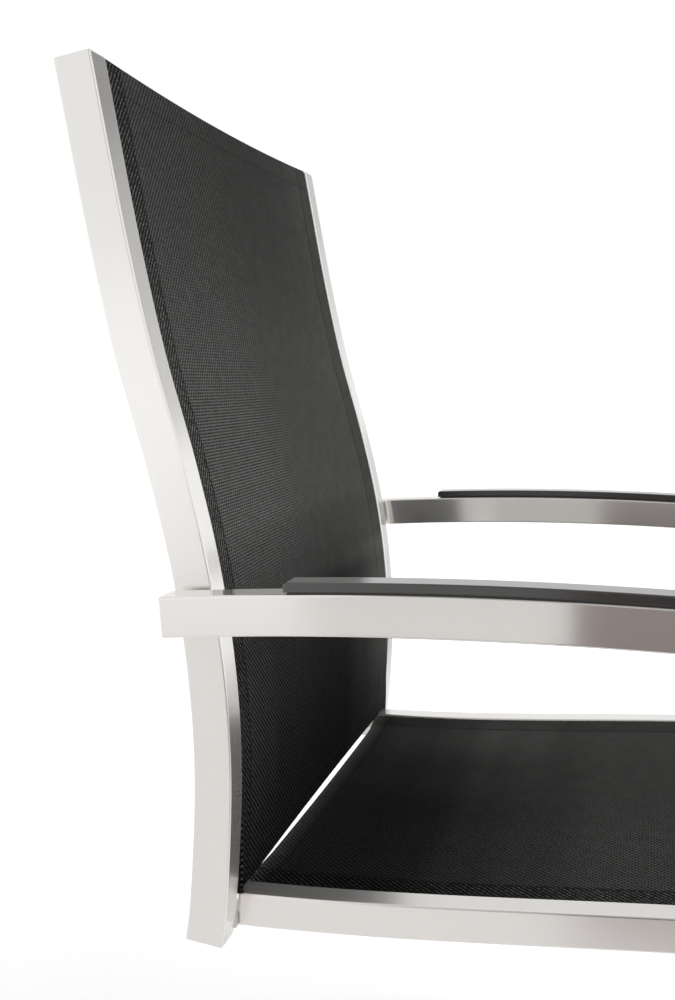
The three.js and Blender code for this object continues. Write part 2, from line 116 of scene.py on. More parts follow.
# Shapes of the slings
SLING_THICKNESS = 1.2 * MM
SLING_COLUMNS = 36
BACK_ROWS = 84
SEAT_ROWS = 60
BACK_SLING_DROP = 4.2 * MM
BACK_HOLLOW_TOP = 5 * MM
BACK_HOLLOW_MIDDLE = 9 * MM
BACK_HOLLOW_BOTTOM = 2 * MM
BACK_TOP_DIP = 2.3 * MM
BACK_TOP_RISE = 4 * MM
SHOULDER_GAP = 0.5 * MM
CORNER_FOLD = 5.5 * MM
CORNER_RISE = 5 * MM
CORNER_FOLD_WIDTH = 14 * MM
CORNER_FOLD_HEIGHT = 95 * MM
FOLD_PEAK_SHARE = 0.3
FOLD_SHARES = (0.15, 0.3, 0.5, 0.75, 1)
FOOT_CORNER_START = 0.93
FOOT_CORNER_SPAN = 0.05
BACK_END_PARTS = 60
SEAT_SAG_END = 3 * MM
SEAT_SAG_MIDDLE = 8 * MM
SEAT_SLING_REAR = 0.9 * MM
SEAT_REAR_MIDDLE = -2.2 * MM
SEAT_REAR_SKEW = -2 * MM
SEAT_REAR_CORNER = 4 * MM
REAR_CORNER_START = 0.74
REAR_CORNER_SPAN = 0.2
SEAT_REAR_LIMIT = 0.4 * MM
SEAT_END_PARTS = 12
SEAT_SLING_FRONT = 6 * MM
TOP_INSET = 1 * MM
POCKET_WIDTH = 28 * MM
HEM_WIDTH = 22 * MM
HEM_LIFT = 0.3 * MM
SEAT_REAR_BEAD = 0.9 * MM
BEAD_WIDTH = 4 * MM
BEAD_SHARES = (0.25, 0.5, 0.75, 1)
SEAM_STEP = 1.5 * MM

# Stitches
STITCH_LENGTH = 3.2 * MM
STITCH_PITCH = 4.2 * MM
STITCH_RADIUS = 0.25 * MM
STITCH_SIDES = 6
STITCH_PROFILE = ((-0.5, -0.4), (-0.36, 0.75), (-0.12, 1), (0.12, 1), (0.36, 0.75), (0.5, -0.4))
STITCH_FLATNESS = 0.6
STITCH_TIP = 0.55
POCKET_SEAM_INSET = 2 * MM
HEM_SEAM_INSET = 3 * MM
HEM_SEAM_END = 6 * MM

# Weave of the slings
WARP_PITCH = 2.44 * MM
WEFT_PITCH = 2.56 * MM
# Strength of one set of slanting lines, and what the side pockets add to it
LINE_STRENGTH = 0.16
POCKET_LINES = 0.22
# The noise that breaks this set up: scale, gain and offset
BREAK_SCALE = 450
BREAK_GAIN = 2.4
BREAK_OFFSET = 0.77
# Painted shade of the weave: brightness at the yarns' lowest places, in the crevices, what their height
# adds towards their lighter tops, and what the pockets add in contrast
CREVICE_SHADE = 0.92
YARN_TOP_LIGHT = 0.1
POCKET_CONTRAST = 0.3
CLOUD_SCALE = 60
CLOUD_SPREAD = 0.04
MESH_ROUGHNESS = 0.66
YARN_GLOSS = 0.2

# Looks of the slings, painted light and shade among them: values at places from 0, at the back's foot or
# the seat's front, to 1
BACK_LOOK = {
    # Painted light and shade: brightness, darker low on the back where shade falls and lighter higher up
    # where light falls
    "tone": (
        (0, 0.24), (0.3, 0.52), (0.35, 1.15), (0.42, 1.45), (0.47, 1.85), (0.65, 1.7), (1, 1.06),
    ),
    # Strength of the ribs that run across the cloth: painted highlights on the weft crowns, strongest in
    # the middle of the back
    "ribs": ((0, 0), (0.34, 0.02), (0.42, 0.1), (0.6, 0.12), (0.75, 0.05), (1, 0.02)),
    # Strength of the other set of slanting lines
    "strokes": ((0, 0.13), (0.34, 0.13), (0.42, 0.04), (1, 0.04)),
    # Share of the painted light (the lift) that counts, at places from -1 on the right to 1 on the left
    "far": (
        (-1, 0.15), (-0.7, 0.06), (-0.5, 0), (0.3, 0), (0.6, 0.22), (0.85, 0.62), (0.9, 1), (1, 1),
    ),
    # Painted light: extra brightness
    "lift": (
        (0, 2.2), (0.06, 3.6), (0.12, 5), (0.22, 5), (0.3, 3.6),
        (0.36, 0.8), (0.42, 0.3), (0.48, 0), (0.75, 0.2), (1, 0.6),
    ),
}
SEAT_LOOK = {
    # Painted light and shade: the seat darker towards its rear, where the back shades it, with a painted
    # highlight on the rolled rear edge
    "tone": (
        (0, 1.5), (0.42, 1.3), (0.55, 0.9), (0.68, 0.62), (0.76, 0.36),
        (0.85, 0.31), (0.965, 0.35), (0.985, 0.75), (1, 1.15),
    ),
    "ribs": ((0, 0.04), (1, 0.04)),
    "strokes": ((0, 0.04), (1, 0.04)),
    "far": ((-1, 0), (-0.2, 0), (0.3, 0.3), (0.8, 1), (1, 1)),
    # Painted light on the seat, towards its rear and on its left side
    "lift": ((0, 0.1), (0.42, 0.15), (0.52, 0.45), (0.65, 1.4), (0.75, 2.5), (0.88, 2), (1, 0.6)),
}
# How clearly the weave shows, from -1 on the right to 1 on the left
CLARITY = ((-1, 1), (-0.45, 1), (0.2, 0.15), (1, 0.15))

# Bars
BOWED_BAR_RADIUS = 8 * MM
BAR_SETBACK = 19 * MM
BAR_STRAIGHT_END = 16 * MM
BACK_BAR_BOW = 18 * MM
SEAT_BAR_BOW = 22 * MM
BOW_STEPS = 40
FRONT_BAR_RADIUS = 12.5 * MM
BAR_SIDES = 32

# Edges of the small pieces
BLOCK_EDGE = 1.5 * MM
GLIDE_EDGE = 0.8 * MM

# Camera, in metres, degrees, millimetres of lens and shares of the picture
CAMERA_PLACE = (-0.92055, -0.12244, 0.85423)
CAMERA_YAW = 11.2274
CAMERA_PITCH = 5.1318
CAMERA_LENS = 35.97
CAMERA_SHIFT = (-0.1109, -0.0428)

# Floor, and the world's strength where it lights things
FLOOR_HALF = 40
FLOOR_GLOW = 0.15
WORLD_AS_LIGHT = 0.78

# Screens that only reflections see: name, corner, the two edges from it, and colour
SCREENS = (
    ("camera_stand", (-0.95, -0.03, 0.03), (0, -0.5, 0), (0, 0, 0.8), (0.168, 0.125, 0.12)),
    ("low_wall", (-3.6, -0.5, 0.03), (0, 1.8, 0), (0, 0, 0.5), (0.31, 0.295, 0.28)),
    ("near_floor", (-3.4, -2, 0.02), (3.1, 0, 0), (0, 3.15, 0), (0.75, 0.73, 0.72)),
    ("near_floor_rear", (-3.4, 1.15, 0.02), (3.1, 0, 0), (0, 0.9, 0), (0.77, 0.75, 0.74)),
    ("far_arm_front", (-0.45, -0.04, 0.42), (0, -0.46, 0), (0, 0, 0.165), (0.03, 0.02, 0.018)),
    ("far_arm_rear", (-0.45, -0.04, 0.42), (0, 0.2, 0), (0, 0, 0.165), (0.4, 0.39, 0.37)),
    ("far_floor", (1.2, -1.1, 0.02), (1.6, 0, 0), (0, 0.9, 0), (0.46, 0.445, 0.43)),
    ("back_card", (-0.221, 0.1952, 0.697), (0.442, 0, 0), (0, 0.0302, 0.13), (0.28, 0.275, 0.265)),
    ("arm_card", (-2.45, -0.55, 1.25), (0, 1.4, 0), (0, 0, 2.1), (0.42, 0.41, 0.4)),
    ("ceiling_card", (-2.45, -1.6, 3.35), (2.3, 0, 0), (0, 2.6, 0), (0.35, 0.35, 0.34)),
    ("side_wall", (-2.5, -4, 1.15), (0, 8, 0), (0, 0, 2.2), (0.84, 0.84, 0.84)),
    ("front_wall", (-3.5, -3.6, 1.2), (4.5, 0, 0), (0, 0, 2.2), (0.84, 0.84, 0.84)),
    ("far_wall", (3.4, -4, 1.7), (0, 8, 0), (0, 0, 1.7), (0.8, 0.8, 0.8)),
    ("far_card", (3.1, -1, 0.01), (0, 0.9, 0), (0, 0, 1), (0.55, 0.55, 0.55)),
    ("ceiling", (-4, -4, 3.4), (8, 0, 0), (0, 8, 0), (0.8, 0.8, 0.8)),
)

# One more screen in bands: the height where each begins, with its grey, and the top
FAR_SIDE = ((1.35, 0.66), (1.5, 0.52), (1.7, 0.42), (2.05, 0.3), (2.3, 0.12), (3.38, 0.12))
FAR_SIDE_CORNER = (3.2, -0.5)
FAR_SIDE_EDGE = (-1.1, -1.7, 0)


# Materials

def new_material(name):
    material = bpy.data.materials.new(name)
    material.use_nodes = True
    nodes = material.node_tree.nodes
    return material, nodes, material.node_tree.links, nodes["Principled BSDF"]


def math_node(nodes, links, operation, first, second=None):
    node = nodes.new("ShaderNodeMath")
    node.operation = operation
    for index, value in enumerate((first, second)):
        if value is None:
            continue
        if isinstance(value, (int, float)):
            node.inputs[index].default_value = value
        else:
            links.new(value, node.inputs[index])
    return node.outputs[0]


def ramp(nodes, links, value, stops):
    node = nodes.new("ShaderNodeValToRGB")
    links.new(value, node.inputs[0])
    elements = node.color_ramp.elements
    while len(elements) < len(stops):
        elements.new(0.5)
    for element, (place, colour) in zip(elements, stops):
        element.position = place
        element.color = (*colour, 1)
    return node.outputs[0]


def brushed_steel(name, roughness, one_way):
    """Steel brushed along the tube; U runs along a tube and V round it, in metres."""
    material, nodes, links, shader = new_material(name)
    uv = nodes.new("ShaderNodeTexCoord").outputs["UV"]
    stretch = nodes.new("ShaderNodeMapping")
    stretch.inputs["Scale"].default_value = (28, 2600, 1)
    links.new(uv, stretch.inputs["Vector"])
    grain = nodes.new("ShaderNodeTexNoise")
    grain.inputs["Scale"].default_value = 1
    grain.inputs["Detail"].default_value = 5
    grain.inputs["Roughness"].default_value = 0.6
    links.new(stretch.outputs[0], grain.inputs["Vector"])
    patches = nodes.new("ShaderNodeTexNoise")
    patches.inputs["Scale"].default_value = 9
    patches.inputs["Detail"].default_value = 2
    links.new(uv, patches.inputs["Vector"])
    stops = [(0.3, (0.904, 0.886, 0.865)), (0.7, (0.917, 0.899, 0.878))]
    colour = ramp(nodes, links, grain.outputs["Fac"], stops)
    links.new(colour, shader.inputs["Base Color"])
    shader.inputs["Metallic"].default_value = 0.9
    fine = math_node(nodes, links, "MULTIPLY", grain.outputs["Fac"], 0.02)
    broad = math_node(nodes, links, "MULTIPLY", patches.outputs["Fac"], 0.08)
    summed = math_node(nodes, links, "ADD", fine, broad)
    links.new(math_node(nodes, links, "ADD", summed, roughness), shader.inputs["Roughness"])
    shader.inputs["Anisotropic"].default_value = one_way
    shader.inputs["Anisotropic Rotation"].default_value = 0.25
    tangent = nodes.new("ShaderNodeTangent")
    tangent.direction_type = "UV_MAP"
    tangent.uv_map = "UVMap"
    links.new(tangent.outputs[0], shader.inputs["Tangent"])
    bump = nodes.new("ShaderNodeBump")
    bump.inputs["Strength"].default_value = 0.012
    bump.inputs["Distance"].default_value = 0.00008
    links.new(grain.outputs["Fac"], bump.inputs["Height"])
    links.new(bump.outputs[0], shader.inputs["Normal"])
    return material


def woven_mesh():
    """Black coated mesh, yarns in pairs over and under; U and V are its width and length in metres."""
    material, nodes, links, shader = new_material("woven_mesh")
    uv = nodes.new("ShaderNodeTexCoord").outputs["UV"]
    split = nodes.new("ShaderNodeSeparateXYZ")
    links.new(uv, split.inputs[0])

    def maths(operation, first, second=None):
        return math_node(nodes, links, operation, first, second)

    def attribute(name):
        node = nodes.new("ShaderNodeAttribute")
        node.attribute_name = name
        return node.outputs["Fac"]

    across = maths("DIVIDE", split.outputs[0], WARP_PITCH)
    along = maths("DIVIDE", split.outputs[1], WEFT_PITCH)

    def wave(place, turns):
        return maths("SINE", maths("MULTIPLY", place, turns * math.pi))

    def crown(place, turns, power):
        return maths("POWER", maths("ABSOLUTE", wave(place, turns)), power)

    def slope(operation):
        """A row of slanting lines through the crossings, one way or the other."""
        return maths("COSINE", maths("MULTIPLY", maths(operation, across, along), math.pi))

    over = maths("GREATER_THAN", maths("MULTIPLY", wave(across, 1), wave(along, 1)), 0)
    warp = maths("MULTIPLY", crown(across, 2, 0.5), crown(along, 1, 0.6))
    weft = maths("MULTIPLY", crown(along, 2, 0.5), crown(across, 1, 0.6))
    mix = nodes.new("ShaderNodeMix")
    links.new(over, mix.inputs["Factor"])
    links.new(weft, mix.inputs["A"])
    links.new(warp, mix.inputs["B"])
    height = mix.outputs["Result"]
    doubled = maths("MULTIPLY", attribute("pocket"), attribute("clarity"))
    grain = nodes.new("ShaderNodeTexNoise")
    grain.inputs["Scale"].default_value = BREAK_SCALE
    grain.inputs["Detail"].default_value = 1
    links.new(uv, grain.inputs["Vector"])
    patchy = maths("SUBTRACT", maths("MULTIPLY", grain.outputs["Fac"], BREAK_GAIN), BREAK_OFFSET)
    strength = maths("ADD", maths("MULTIPLY", doubled, POCKET_LINES), LINE_STRENGTH)
    rising = maths("MULTIPLY", slope("SUBTRACT"), maths("MULTIPLY", patchy, strength))
    falling = maths("MULTIPLY", slope("ADD"), attribute("strokes"))
    # Ribs across the cloth: painted highlights along the weft crowns
    ribs = maths("MULTIPLY", maths("COSINE", maths("MULTIPLY", along, 2 * math.pi)), attribute("ribs"))
    ribs = maths("MULTIPLY", ribs, maths("SUBTRACT", 1, maths("MULTIPLY", doubled, 0.5)))
    relief = maths("ADD", maths("SUBTRACT", rising, falling), ribs)
    yarns = maths("ADD", maths("MULTIPLY", relief, attribute("clarity")), 0.5)
    # Painted shade: the yarns darker in their crevices and lighter on their tops
    lit = maths("MULTIPLY", yarns, maths("ADD", maths("MULTIPLY", height, YARN_TOP_LIGHT), CREVICE_SHADE))
    contrast = maths("POWER", lit, maths("ADD", maths("MULTIPLY", doubled, POCKET_CONTRAST), 1))
    cloud = nodes.new("ShaderNodeTexNoise")
    cloud.inputs["Scale"].default_value = CLOUD_SCALE
    cloud.inputs["Detail"].default_value = 4
    links.new(uv, cloud.inputs["Vector"])
    uneven = maths("MULTIPLY_ADD", cloud.outputs["Fac"], CLOUD_SPREAD)
    uneven.node.inputs[2].default_value = -CLOUD_SPREAD / 2
    stops = [(0.06, (0.001, 0.001, 0.001)), (0.45, (0.02, 0.02, 0.0194)), (0.95, (0.17, 0.17, 0.165))]
    colour = ramp(nodes, links, maths("ADD", contrast, uneven), stops)
    # Painted light and shade, written on the cloth, scale the weave's colour
    shaded = nodes.new("ShaderNodeVectorMath")
    shaded.operation = "SCALE"
    links.new(colour, shaded.inputs[0])
    links.new(attribute("tone"), shaded.inputs["Scale"])
    links.new(shaded.outputs[0], shader.inputs["Base Color"])
    roughness = maths("SUBTRACT", MESH_ROUGHNESS, maths("MULTIPLY", contrast, YARN_GLOSS))
    links.new(roughness, shader.inputs["Roughness"])
    shader.inputs["Specular IOR Level"].default_value = 0
    bump = nodes.new("ShaderNodeBump")
    bump.inputs["Strength"].default_value = 0.35
    bump.inputs["Distance"].default_value = 0.0005
    links.new(height, bump.inputs["Height"])
    links.new(bump.outputs[0], shader.inputs["Normal"])
    return material


def moulded(name, dark, light, roughness, grain_scale, bump_strength, specular=0.5, coat=0.0):
    """Plastic or thread with a fine even grain, matt unless it has a coat."""
    material, nodes, links, shader = new_material(name)
    place = nodes.new("ShaderNodeTexCoord").outputs["Object"]
    grain = nodes.new("ShaderNodeTexNoise")
    grain.inputs["Scale"].default_value = grain_scale
    grain.inputs["Detail"].default_value = 6
    links.new(place, grain.inputs["Vector"])
    colour = ramp(nodes, links, grain.outputs["Fac"], [(0.3, dark), (0.7, light)])
    links.new(colour, shader.inputs["Base Color"])
    shader.inputs["Specular IOR Level"].default_value = specular
    shader.inputs["Coat Weight"].default_value = coat
    shader.inputs["Coat Roughness"].default_value = 0.2
    shift = math_node(nodes, links, "MULTIPLY", grain.outputs["Fac"], 0.12)
    links.new(math_node(nodes, links, "ADD", shift, roughness), shader.inputs["Roughness"])
    bump = nodes.new("ShaderNodeBump")
    bump.inputs["Strength"].default_value = bump_strength
    bump.inputs["Distance"].default_value = 0.0001
    links.new(grain.outputs["Fac"], bump.inputs["Height"])
    links.new(bump.outputs[0], shader.inputs["Normal"])
    return material


# The uprights and rails reflect more softly than the side frames
STEEL = brushed_steel("satin_steel", roughness=0.13, one_way=0.9)
SOFT_STEEL = brushed_steel("soft_steel", roughness=0.2, one_way=0.5)
GROUND = brushed_steel("ground_steel", roughness=0.4, one_way=0.9)
MESH = woven_mesh()
PAD = moulded(
    "pad_plastic", (0.016, 0.0155, 0.0145), (0.026, 0.0255, 0.0245),
    roughness=0.12, grain_scale=500, bump_strength=0.02, specular=0.9, coat=0.8,
)
BLACK = moulded(
    "foot_plastic", (0.01, 0.01, 0.01), (0.024, 0.024, 0.024),
    roughness=0.45, grain_scale=1500, bump_strength=0.2,
)
THREAD = moulded(
    "sewing_thread", (0.004, 0.004, 0.004), (0.01, 0.01, 0.0095),
    roughness=0.6, grain_scale=2500, bump_strength=0.2, specular=0.1,
)


# Geometry helpers

def arc(centre, radius, start, end, steps):
    angles = [start + (end - start) * step / steps for step in range(steps + 1)]
    return [(centre[0] + radius * math.cos(a), centre[1] + radius * math.sin(a)) for a in angles]


def rounded_outline(width, near, far, radius=CORNER_RADIUS):
    x = width / 2 - radius
    corners = ((x, near + radius, -1), (x, far - radius, 0), (-x, far - radius, 1), (-x, near + radius, 2))
    return [
        point
        for cx, cy, turn in corners
        for point in arc((cx, cy), radius, turn * QUARTER, (turn + 1) * QUARTER, CORNER_STEPS)
    ]


def slotted_outline(width, depth, inward):
    """Outline of a tube with a sling slot in its inward face, next to the near face."""
    half = width / 2
    slot_end = SLOT_START + SLOT_WIDTH
    x = half - CORNER_RADIUS
    far = depth - CORNER_RADIUS
    points = [(half, slot_end)]
    for cx, cy, turn in ((x, far, 0), (-x, far, 1), (-x, CORNER_RADIUS, 2), (x, CORNER_RADIUS, 3)):
        points += arc((cx, cy), CORNER_RADIUS, turn * QUARTER, (turn + 1) * QUARTER, CORNER_STEPS)
    points += [(half, SLOT_START), (half - WALL, SLOT_START)]
    inset = WALL + BORE_RADIUS
    x = half - inset
    far = depth - inset
    for cx, cy, turn in ((x, inset, 4), (-x, inset, 3), (-x, far, 2), (x, far, 1)):
        points += arc((cx, cy), BORE_RADIUS, turn * QUARTER, (turn - 1) * QUARTER, 2)
    points.append((half - WALL, slot_end))
    if inward < 0:
        points = [(-px, py) for px, py in reversed(points)]
    return points


def circle_outline(radius):
    return arc((0, 0), radius, 0, 4 * QUARTER, BAR_SIDES)[:-1]


def finish_piece(obj, material, smooth_angle=30, weighted=True):
    """Gives a piece its material, smooth shading and body."""
    obj.data.materials.clear()
    obj.data.materials.append(material)
    obj.data.shade_smooth()
    obj.data.set_sharp_from_angle(angle=math.radians(smooth_angle))
    if weighted:
        normals = obj.modifiers.new("even_normals", "WEIGHTED_NORMAL")
        normals.keep_sharp = True
    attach(obj, "root")
    return obj


def mesh_object(name, vertices, faces, uvs=None):
    mesh = bpy.data.meshes.new(name)
    mesh.from_pydata([tuple(v) for v in vertices], [], faces)
    if uvs is not None:
        layer = mesh.uv_layers.new(name="UVMap")
        for polygon in mesh.polygons:
            for corner, uv in zip(polygon.loop_indices, uvs[polygon.index]):
                layer.data[corner].uv = uv
    mesh.validate()
    obj = bpy.data.objects.new(name, mesh)
    bpy.context.scene.collection.objects.link(obj)
    return obj


def directions(points):
    """The direction of a line at each of its points, halving the turn between its stretches."""
    steps = [(b - a).normalized() for a, b in zip(points, points[1:])]
    return [steps[0]] + [(a + b).normalized() for a, b in zip(steps, steps[1:])] + [steps[-1]]


def sweep(name, outline, points, across=X_AXIS):
    """A closed solid with this outline along the points; UV runs along it and round it, in metres."""
    count = len(outline)
    vertices = []
    for point, direction in zip(points, directions(points)):
        binormal = direction.cross(across)
        vertices += [point + across * x + binormal * y for x, y in outline]
    round_lengths = [0.0]
    for (ax, ay), (bx, by) in zip(outline, outline[1:] + outline[:1]):
        round_lengths.append(round_lengths[-1] + math.hypot(bx - ax, by - ay))
    lengths = [0.0]
    for a, b in zip(points, points[1:]):
        lengths.append(lengths[-1] + (b - a).length)
    faces, uvs = [], []
    for ring in range(len(points) - 1):
        for side in range(count):
            after = (side + 1) % count
            low, high = ring * count, (ring + 1) * count
            faces.append((low + side, low + after, high + after, high + side))
            u0, u1 = lengths[ring], lengths[ring + 1]
            v0, v1 = round_lengths[side], round_lengths[side + 1]
            uvs.append(((u0, v0), (u0, v1), (u1, v1), (u1, v0)))
    last = (len(points) - 1) * count
    faces.append(tuple(reversed(range(count))))
    uvs.append([outline[index] for index in reversed(range(count))])
    faces.append(tuple(range(last, last + count)))
    uvs.append(list(outline))
    return mesh_object(name, vertices, faces, uvs)


def catmull_rom(places, position):
    """The centripetal curve through the places, at a position counted in spans."""
    first = min(int(position), len(places) - 2)
    t = position - first
    p1, p2 = places[first], places[first + 1]
    p0 = places[first - 1] if first > 0 else p1 * 2 - p2
    p3 = places[first + 2] if first + 2 < len(places) else p2 * 2 - p1
    d0, d1, d2 = (math.sqrt((b - a).length) for a, b in ((p0, p1), (p1, p2), (p2, p3)))
    t1 = ((p1 - p0) / d0 - (p2 - p0) / (d0 + d1) + (p2 - p1) / d1) * d1
    t2 = ((p2 - p1) / d1 - (p3 - p1) / (d1 + d2) + (p3 - p2) / d2) * d1
    return p1 + t1 * t + (p2 * 3 - p1 * 3 - t1 * 2 - t2) * t**2 + (p1 * 2 - p2 * 2 + t1 + t2) * t**3


def shifted(points, x):
    return [Vector((x, point.y, point.z)) for point in points]


# Lines of the uprights, rails and side frames, in the middle plane

SLING_START = SEAT_REAR_HEIGHT - BACK_SLING_DROP
foot_y = FORWARD_Y + UPRIGHT_SWEEP * FOOT_SWEEP_SHARE
upright_places = [Vector((0, foot_y, SEAT_REAR_HEIGHT - UPRIGHT_FOOT_DROP))]
upright_places += [
    Vector((
        0,
        FORWARD_Y + UPRIGHT_SWEEP * sweep_share,
        SLING_START + (CHAIR_TOP - SLING_START) * height_share,
    ))
    for height_share, sweep_share in UPRIGHT_SHARES
]
upright_spans = len(upright_places) - 1
upright_line = [
    catmull_rom(upright_places, step / SPAN_STEPS) for step in range(upright_spans * SPAN_STEPS + 1)
]


def smooth_share(share):
    return share * share * (3 - 2 * share)


def rail_point(share):
    """A point of the rails' top faces, from 0 at the front to 1 at the rear."""
    length = SEAT_DEPTH + RAIL_REAR
    y = FORWARD_Y - SEAT_DEPTH + length * share
    return Vector((0, y, SEAT_REAR_HEIGHT + SEAT_RISE * smooth_share(1 - share)))


rail_line = [rail_point(step / RAIL_STEPS) for step in range(RAIL_STEPS + 1)]

LEG_Y = FORWARD_Y + FRAME_DEPTH / 2 - SEAT_DEPTH
RUNNER_HEIGHT = GLIDE_THICKNESS + FIT_GAP + FRAME_DEPTH / 2
ARCH_RADIUS = ARM_CAMBER_RADIUS - FRAME_DEPTH / 2
ARCH_CENTRE = (FORWARD_Y - ARM_CREST, ARM_HEIGHT - ARM_CAMBER_RADIUS)


def arch_angle(y, radius):
    return QUARTER - math.asin((y - ARCH_CENTRE[0]) / radius)


def side_frame_line():
    rear = arch_angle(FORWARD_Y + ARM_REAR - PLATE_THICKNESS, ARCH_RADIUS)
    inner = ARCH_RADIUS - BEND_RADIUS
    front = arch_angle(LEG_Y + BEND_RADIUS, inner)
    arm_bend = (ARCH_CENTRE[0] + inner * math.cos(front), ARCH_CENTRE[1] + inner * math.sin(front))
    floor_bend = (LEG_Y + BEND_RADIUS, RUNNER_HEIGHT + BEND_RADIUS)
    line = arc(ARCH_CENTRE, ARCH_RADIUS, rear, front, ARM_STEPS)
    line += arc(arm_bend, BEND_RADIUS, front, 2 * QUARTER, BEND_STEPS)[1:]
    line += arc(floor_bend, BEND_RADIUS, 2 * QUARTER, 3 * QUARTER, BEND_STEPS)
    line.append((FORWARD_Y - SEAT_DEPTH + RUNNER_LENGTH - PLATE_THICKNESS, RUNNER_HEIGHT))
    return [Vector((0, y, z)) for y, z in line]


# Steel pieces

def end_cap(name, width, near, far, point, direction, outwards=1):
    """The plate welded flush on a tube's end, with its outer rim rounded over."""
    binormal = direction.cross(X_AXIS)
    rings = [(0, 0)]
    for step in range(RIM_STEPS + 1):
        angle = QUARTER * step / RIM_STEPS
        rise = PLATE_THICKNESS + FIT_GAP - PLATE_RIM * (1 - math.sin(angle))
        rings.append((rise, PLATE_RIM * (1 - math.cos(angle))))
    vertices = []
    for height, inset in rings:
        outline = rounded_outline(width - 2 * inset, near + inset, far - inset, CORNER_RADIUS - inset)
        base = point + direction * (outwards * height)
        vertices += [base + X_AXIS * x + binormal * y for x, y in outline]
    count = len(vertices) // len(rings)
    faces = []
    for ring in range(len(rings) - 1):
        for side in range(count):
            low, after = ring * count + side, ring * count + (side + 1) % count
            faces.append((low, after, after + count, low + count))
    faces.append(tuple(reversed(range(count))))
    last = (len(rings) - 1) * count
    faces.append(tuple(range(last, last + count)))
    if outwards < 0:
        faces = [tuple(reversed(face)) for face in faces]
    flat = [(binormal.dot(v - point), X_AXIS.dot(v - point)) for v in vertices]
    uvs = [[flat[corner] for corner in face] for face in faces]
    return finish_piece(mesh_object(name, vertices, faces, uvs), STEEL)


def build_uprights():
    x = INNER_HALF + UPRIGHT_WIDTH / 2
    for side, sign in SIDES.items():
        line = shifted(upright_line, sign * x)
        tube = sweep(f"{side}_upright_tube", slotted_outline(UPRIGHT_WIDTH, UPRIGHT_DEPTH, -sign), line)
        finish_piece(tube, SOFT_STEEL)
        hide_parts(f"{side}_upright")
        way = directions(line)
        size = (UPRIGHT_WIDTH, 0, UPRIGHT_DEPTH)
        top = end_cap(f"{side}_upright_top", *size, line[-1], way[-1])
        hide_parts(f"{side}_upright_top_plate")
        foot = end_cap(f"{side}_upright_foot", *size, line[0], way[0], -1)
        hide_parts(f"{side}_upright_foot_plate")


def build_rails():
    x = RAIL_INNER_X + RAIL_WIDTH / 2
    for side, sign in SIDES.items():
        line = shifted(rail_line, sign * x)
        tube = sweep(f"{side}_rail_tube", slotted_outline(RAIL_WIDTH, RAIL_DEPTH, -sign), line)
        finish_piece(tube, SOFT_STEEL)
        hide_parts(f"{side}_seat_rail")
        way = directions(line)
        cap = end_cap(f"{side}_rail_front", RAIL_WIDTH, 0, RAIL_DEPTH, line[0], way[0], -1)
        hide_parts(f"{side}_seat_rail_front_plate")


def build_side_frames():
    x = (FRAME_INNER_X + FRAME_OUTER_X) / 2
    size = (FRAME_OUTER_X - FRAME_INNER_X, -FRAME_DEPTH / 2, FRAME_DEPTH / 2)
    for side, sign in SIDES.items():
        line = shifted(side_frame_line(), sign * x)
        tube = sweep(f"{side}_frame_tube", rounded_outline(*size), line)
        finish_piece(tube, STEEL)
        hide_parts(f"{side}_side_frame")
        way = directions(line)
        arm_end = end_cap(f"{side}_arm_end", *size, line[0], way[0], -1)
        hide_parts(f"{side}_arm_rear_plate")
        runner_end = end_cap(f"{side}_runner_end", *size, line[-1], way[-1])
        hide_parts(f"{side}_runner_rear_plate")


def bowed_bar(name, node, point, direction, half_span, bow):
    """A round bar behind a sling, straight at its ends and bowed away from the sling between them."""
    inwards = direction.cross(X_AXIS)
    middle = point + inwards * BAR_SETBACK
    points = [middle + X_AXIS * -half_span]
    for step in range(BOW_STEPS + 1):
        across = 2 * step / BOW_STEPS - 1
        depth = bow * (1 - across**2) ** 2
        points.append(middle + X_AXIS * (across * (half_span - BAR_STRAIGHT_END)) + inwards * depth)
    points.append(middle + X_AXIS * half_span)
    bar = sweep(name, circle_outline(BOWED_BAR_RADIUS), points, direction)
    finish_piece(bar, STEEL)
    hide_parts(node)


def nearest(line, axis, place):
    return min(range(len(line)), key=lambda index: abs(line[index][axis] - place))


def node_middle(node, axis):
    low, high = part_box(node)
    return (low[axis] + high[axis]) / 2


def straight_bar(name, node, outline):
    """A bar from one side frame to the other, in the middle of its node."""
    middle = Vector((0, node_middle(node, 1), node_middle(node, 2)))
    half = FRAME_INNER_X - FIT_GAP
    ends = [Vector((sign * half, 0, 0)) + middle for sign in (-1, 1)]
    bar = sweep(name, outline, ends, Y_AXIS)
    finish_piece(bar, STEEL)
    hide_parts(node)


def build_bars():
    ways = directions(upright_line)
    half = INNER_HALF - FIT_GAP
    for name in ("back_top_bar", "back_lower_bar"):
        index = nearest(upright_line, 2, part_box(name)[1][2] - BOWED_BAR_RADIUS)
        bowed_bar(f"{name}_pipe", name, upright_line[index], ways[index], half, BACK_BAR_BOW)
    ways = directions(rail_line)
    half = RAIL_INNER_X - FIT_GAP
    index = nearest(rail_line, 1, node_middle("seat_rear_bar", 1))
    bowed_bar("seat_rear_bar_pipe", "seat_rear_bar", rail_line[index], ways[index], half, SEAT_BAR_BOW)
    straight_bar("seat_front_bar_pipe", "seat_front_bar", circle_outline(FRONT_BAR_RADIUS))
    section = rounded_outline(FRAME_OUTER_X - FRAME_INNER_X, -FRAME_DEPTH / 2, FRAME_DEPTH / 2)
    straight_bar("base_rear_bar_tube", "base_rear_bar", section)


# Arm pads

def pad_corner(place, turn, radius):
    """The rounded upper corner of a pad's end, and the arch that its centre lies on."""
    angle = arch_angle(place, radius)
    centre = (ARCH_CENTRE[0] + radius * math.cos(angle), ARCH_CENTRE[1] + radius * math.sin(angle))
    return arc(centre, PAD_END_RADIUS, angle + turn, angle + turn + QUARTER, PAD_END_STEPS)


